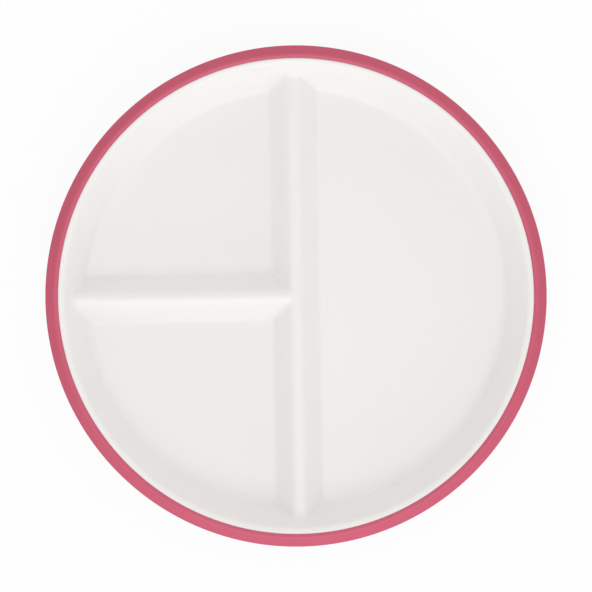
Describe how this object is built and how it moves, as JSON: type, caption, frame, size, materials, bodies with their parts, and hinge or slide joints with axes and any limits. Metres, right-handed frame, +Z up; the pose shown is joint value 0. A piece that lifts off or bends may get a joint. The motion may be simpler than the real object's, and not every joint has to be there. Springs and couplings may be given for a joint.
{
  "type": "divided plate",
  "caption": "Round child's plate moulded with a T-shaped divider into one large and two small compartments, with a coloured lift-off rim ring and a soft non-slip ring in its foot.",
  "frame": {"origin": "on the table under the middle of the plate, at the underside of the soft foot ring", "axes": "+Z up, +X towards the large compartment, +Y along the long divider, to the top of the picture"},
  "size_m": [0.21, 0.21, 0.0271],
  "materials": {
    "white_plastic": "moulded white polypropylene with a satin gloss",
    "pink_plastic": "moulded pink plastic, satin to matte",
    "pink_soft": "soft pink thermoplastic rubber, matte"
  },
  "bodies": {
    "plate": {"plate_body": "white_plastic", "foot_ring": "pink_soft"},
    "rim_ring": {"rim_ring": "pink_plastic"}
  },
  "joints": [
    {"name": "ring_lift", "type": "slide", "parent": "plate", "child": "rim_ring", "axis": [0, 0, 1], "range_m": [0, 0.05]}
  ]
}
